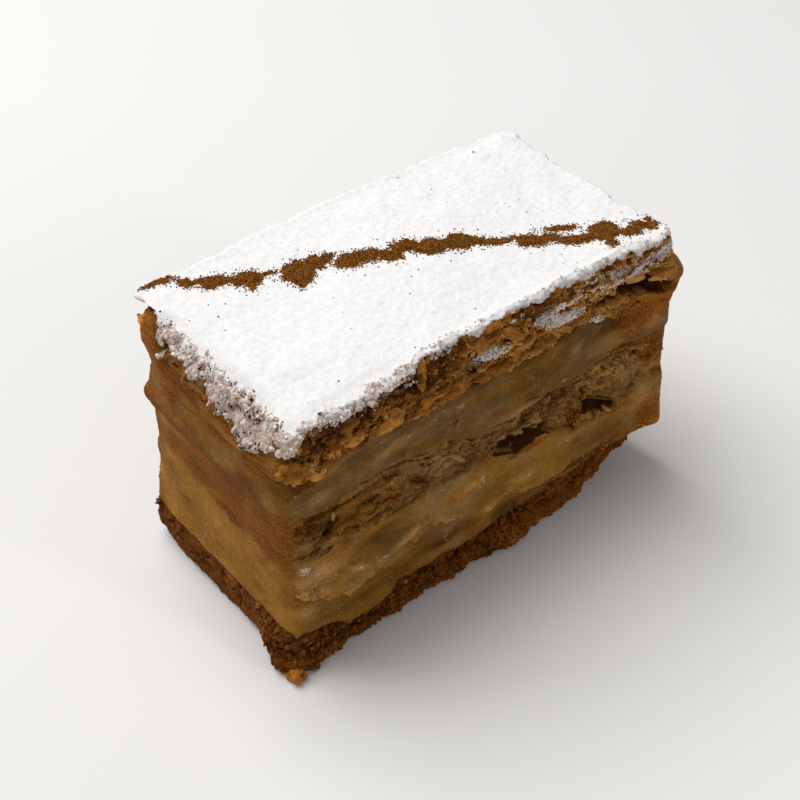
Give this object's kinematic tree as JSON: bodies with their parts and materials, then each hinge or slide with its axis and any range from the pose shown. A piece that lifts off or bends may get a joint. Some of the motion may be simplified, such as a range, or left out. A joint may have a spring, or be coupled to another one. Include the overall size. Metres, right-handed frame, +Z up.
{
  "type": "mille feuille slice",
  "caption": "Rectangular slice of layered puff pastry with set custard between the sheets, icing sugar on top and a cinnamon line pinched across it.",
  "frame": {"origin": "on the floor under the middle of the slice's bounding box", "axes": "+X along the slice's length, +Y across it, +Z up; the end where the cinnamon line starts near the far corner is -X"},
  "size_m": [0.1077, 0.0607, 0.0667],
  "materials": {
    "base_crust": "dark baked pastry",
    "custard": "moist set custard",
    "soaked_pastry": "soft moist pastry",
    "thin_custard": "moist set custard",
    "baked_crust": "flaky browned pastry",
    "sugar": "powder"
  },
  "bodies": {
    "root": {"bottom_pastry": "base_crust", "lower_custard": "custard", "middle_pastry": "soaked_pastry", "upper_custard": "thin_custard", "top_pastry": "baked_crust", "icing_sugar": "sugar"}
  },
  "joints": []
}
